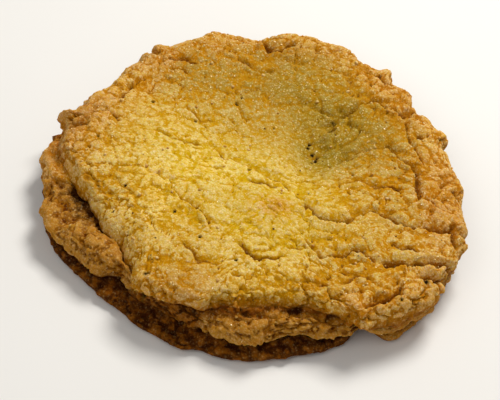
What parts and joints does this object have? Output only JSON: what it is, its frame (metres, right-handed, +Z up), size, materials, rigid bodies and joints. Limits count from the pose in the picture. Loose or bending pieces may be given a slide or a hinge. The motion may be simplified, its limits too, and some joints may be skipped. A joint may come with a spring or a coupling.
{
  "type": "snickerdoodle cookie",
  "caption": "Round soft-baked sugar cookie with a sunken middle, a crust cracked into plates towards the rim, and a lower layer that shows as a lobe and a ledge under the crust's edge.",
  "frame": {"origin": "centre of the bounding box, on the plane that the cookie rests on", "axes": "+Z up through the crust, +X to the right and +Y to the back of the cookie as the picture shows it"},
  "size_m": [0.0802, 0.0782, 0.0125],
  "materials": {
    "crust": "matt golden-brown baked dough, browner at the rim and underneath",
    "sugar": "fine sugar grains baked onto the crust"
  },
  "bodies": {
    "root": {"cookie": "crust"}
  },
  "joints": []
}
